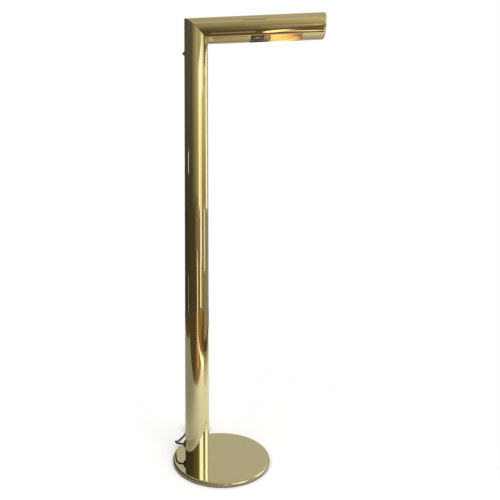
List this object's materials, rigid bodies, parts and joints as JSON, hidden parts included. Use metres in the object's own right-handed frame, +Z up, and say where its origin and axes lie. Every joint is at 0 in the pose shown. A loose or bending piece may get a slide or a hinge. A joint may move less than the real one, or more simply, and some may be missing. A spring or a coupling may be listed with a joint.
{
  "type": "floor lamp",
  "caption": "Brass tube floor lamp: upright tube on a round foot, mitred into a level arm with a slot underneath for a tubular bulb, push switch on the back, mains cord with plug.",
  "frame": {"origin": "middle of the round foot's underside, on the floor", "axes": "+X along the level arm, away from the column; +Z up along the column; +Y to the left of the arm seen from above"},
  "size_m": [0.4061, 0.4085, 1.168],
  "materials": {
    "polished_brass": "mirror polished and lacquered",
    "foot_steel": "turned, oiled",
    "felt": "dark green felt",
    "zinc_steel": "zinc plated",
    "black_plastic": "moulded, satin black",
    "cord_jacket": "soft black vinyl",
    "contact_brass": "rolled, bare",
    "dark_brass": "tarnished",
    "wire_black": "insulation",
    "wire_white": "insulation",
    "phenolic": "moulded phenolic, worn gloss",
    "fibre_board": "hard fibre board",
    "spring_steel": "drawn wire",
    "porcelain": "glazed",
    "frosted_glass": "frosted, lit warm",
    "stem_glass": "clear"
  },
  "bodies": {
    "lamp": {"base_shell": "polished_brass", "base_weight": "foot_steel", "base_felt": "felt", "base_screws": "zinc_steel", "column_foot": "foot_steel", "column_tube": "polished_brass", "arm_tube": "polished_brass", "arm_end_cap": "polished_brass", "cord_bushing": "black_plastic", "bushing_nut": "black_plastic", "mains_cord": "cord_jacket", "cord_coil": "cord_jacket", "coil_tie": "black_plastic", "cord_tail": "cord_jacket", "plug_body": "black_plastic", "plug_blades": "contact_brass", "inner_cord": "cord_jacket", "line_wire": "wire_black", "neutral_wire": "wire_white", "switched_wire": "wire_black", "switch_body": "phenolic", "switch_back": "fibre_board", "switch_terminals": "contact_brass", "switch_barrel": "dark_brass", "switch_nut": "dark_brass", "switch_spring": "spring_steel", "socket_plate": "dark_brass", "socket_nipple": "contact_brass", "nipple_nuts": "zinc_steel", "holder_body": "phenolic", "holder_sleeve": "contact_brass", "holder_insulator": "porcelain", "holder_screw_shell": "contact_brass", "holder_contact": "contact_brass", "holder_terminals": "contact_brass", "bulb_cap": "contact_brass", "bulb_contact": "zinc_steel", "bulb_glass": "frosted_glass", "bulb_stem": "stem_glass", "bulb_filament": "spring_steel"},
    "push_button": {"switch_button": "phenolic"}
  },
  "joints": [
    {"name": "button_push", "type": "slide", "parent": "lamp", "child": "push_button", "axis": [1, 0, 0], "range_m": [0, 0.002], "stiffness_N_per_m": 400, "springref_m": -0.003, "deforming": ["switch_spring"]}
  ]
}
